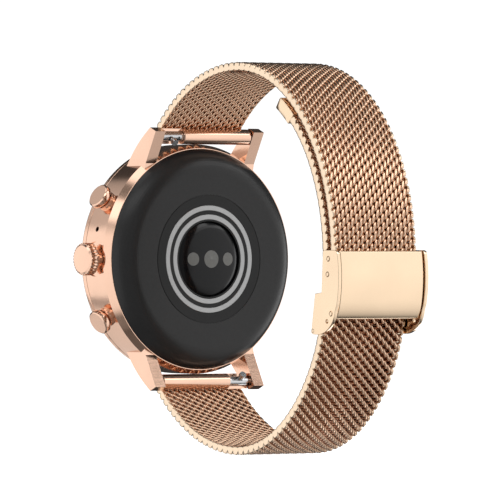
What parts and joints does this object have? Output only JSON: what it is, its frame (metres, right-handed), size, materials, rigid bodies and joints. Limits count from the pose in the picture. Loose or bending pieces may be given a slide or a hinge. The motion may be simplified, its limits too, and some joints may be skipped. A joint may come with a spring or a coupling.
{
  "type": "smartwatch",
  "caption": "Round smartwatch with crown, pushers and optical sensor back, on a woven metal strap closed by a sliding clasp.",
  "frame": {"origin": "centre of the wrist, the middle of the strap's loop, 19 mm behind the back cover's flat and level with the crown", "axes": "+X along the forearm on the crown side, -Y out of the dial, +Z towards twelve o'clock"},
  "size_m": [0.0427, 0.06, 0.0668],
  "materials": {
    "rose_gold": "polished",
    "clasp_gold": "polished",
    "woven_gold": "polished wire",
    "back_black": "satin",
    "lens_black": "gloss",
    "window_grey": "gloss",
    "contact_steel": "satin",
    "display_glass": "gloss",
    "panel": "gloss",
    "steel": "plain",
    "seal": "matte",
    "inner_plastic": "matte",
    "circuit_board": "matte",
    "battery_foil": "plain",
    "diode": "gloss"
  },
  "bodies": {
    "case": {"case_middle": "rose_gold", "bezel": "rose_gold", "cover_glass": "display_glass", "glass_gasket": "seal", "display_panel": "panel", "antenna_ring": "steel", "chassis": "inner_plastic", "main_board": "circuit_board", "board_screws": "steel", "shield_can": "steel", "battery": "battery_foil", "vibration_motor": "steel", "microphone": "steel", "switches": "inner_plastic", "crown_tube": "rose_gold", "crown_gasket": "seal", "pusher_tubes": "rose_gold", "back_cover": "back_black", "back_gasket": "seal", "charge_ring_outer": "contact_steel", "charge_ring_inner": "contact_steel", "charge_magnet": "steel", "sensor_lens": "lens_black", "sensor_windows": "window_grey", "sensor_board": "circuit_board", "sensor_leds": "diode", "upper_pusher_spring": "steel", "lower_pusher_spring": "steel"},
    "crown_bush": {"crown_slider": "steel"},
    "crown_wheel": {"crown": "rose_gold"},
    "upper_button": {"upper_pusher": "rose_gold"},
    "lower_button": {"lower_pusher": "rose_gold"},
    "upper_strap": {"upper_end_tube": "rose_gold", "upper_spring_bar": "steel", "upper_bar_spring": "steel", "upper_mesh": "woven_gold", "upper_hook": "rose_gold"},
    "upper_release": {"upper_bar_release": "steel"},
    "lower_strap": {"lower_end_tube": "rose_gold", "lower_spring_bar": "steel", "lower_bar_spring": "steel", "lower_mesh": "woven_gold", "tail_cap": "clasp_gold"},
    "lower_release": {"lower_bar_release": "steel"},
    "clasp": {"clasp_frame": "clasp_gold", "clasp_rivets": "clasp_gold", "clasp_bridge": "clasp_gold", "clasp_cover_pin": "clasp_gold", "lock_flap_pin": "clasp_gold"},
    "cover": {"clasp_cover": "clasp_gold"},
    "flap": {"lock_flap": "clasp_gold"}
  },
  "joints": [
    {"name": "crown_press", "type": "slide", "parent": "case", "child": "crown_bush", "axis": [-1, 0, 0], "range_m": [0, 0.00045], "stiffness_N_per_m": 1200, "springref_m": -0.0003},
    {"name": "crown_turn", "type": "hinge", "parent": "crown_bush", "child": "crown_wheel", "pos_m": [0.02, -0.0255, 0], "axis": [1, 0, 0], "continuous": true},
    {"name": "upper_button_press", "type": "slide", "parent": "case", "child": "upper_button", "axis": [-0.866, 0, -0.5], "range_m": [0, 0.0005], "stiffness_N_per_m": 1200, "springref_m": -0.0003, "deforming": ["upper_pusher_spring"]},
    {"name": "lower_button_press", "type": "slide", "parent": "case", "child": "lower_button", "axis": [-0.866, 0, 0.5], "range_m": [0, 0.0005], "stiffness_N_per_m": 1200, "springref_m": -0.0003, "deforming": ["lower_pusher_spring"]},
    {"name": "lower_strap_swing", "type": "hinge", "parent": "case", "child": "lower_strap", "pos_m": [0, -0.0206, -0.0213], "axis": [1, 0, 0], "range_deg": [-1.5, 1.5]},
    {"name": "upper_strap_swing", "type": "hinge", "parent": "case", "child": "upper_strap", "pos_m": [0, -0.0206, 0.0213], "axis": [1, 0, 0], "range_deg": [-1.52, 1.52]},
    {"name": "clasp_slide", "type": "hinge", "parent": "lower_strap", "child": "clasp", "pos_m": [0, -0.0152, 0], "axis": [1, 0, 0], "range_deg": [-3.42, 3.42]},
    {"name": "upper_bar_release_pull", "type": "slide", "parent": "upper_strap", "child": "upper_release", "axis": [-1, 0, 0], "range_m": [0, 0.0013], "stiffness_N_per_m": 400, "springref_m": -0.001, "deforming": ["upper_bar_spring"]},
    {"name": "lower_bar_release_pull", "type": "slide", "parent": "lower_strap", "child": "lower_release", "axis": [1, 0, 0], "range_m": [0, 0.0013], "stiffness_N_per_m": 400, "springref_m": -0.001, "deforming": ["lower_bar_spring"]},
    {"name": "clasp_cover_turn", "type": "hinge", "parent": "clasp", "child": "cover", "pos_m": [0, 0.02765, -0.0091], "axis": [-1, 0, 0], "range_deg": [0, 75]},
    {"name": "lock_flap_turn", "type": "hinge", "parent": "clasp", "child": "flap", "pos_m": [0, 0.02275, -0.012], "axis": [1, 0, 0], "range_deg": [0, 70]}
  ],
  "couplings": [
    {"joint": "upper_strap_swing", "follows": "lower_strap_swing", "ratio": -0.9988},
    {"joint": "clasp_slide", "follows": "lower_strap_swing", "ratio": -2.2549}
  ]
}
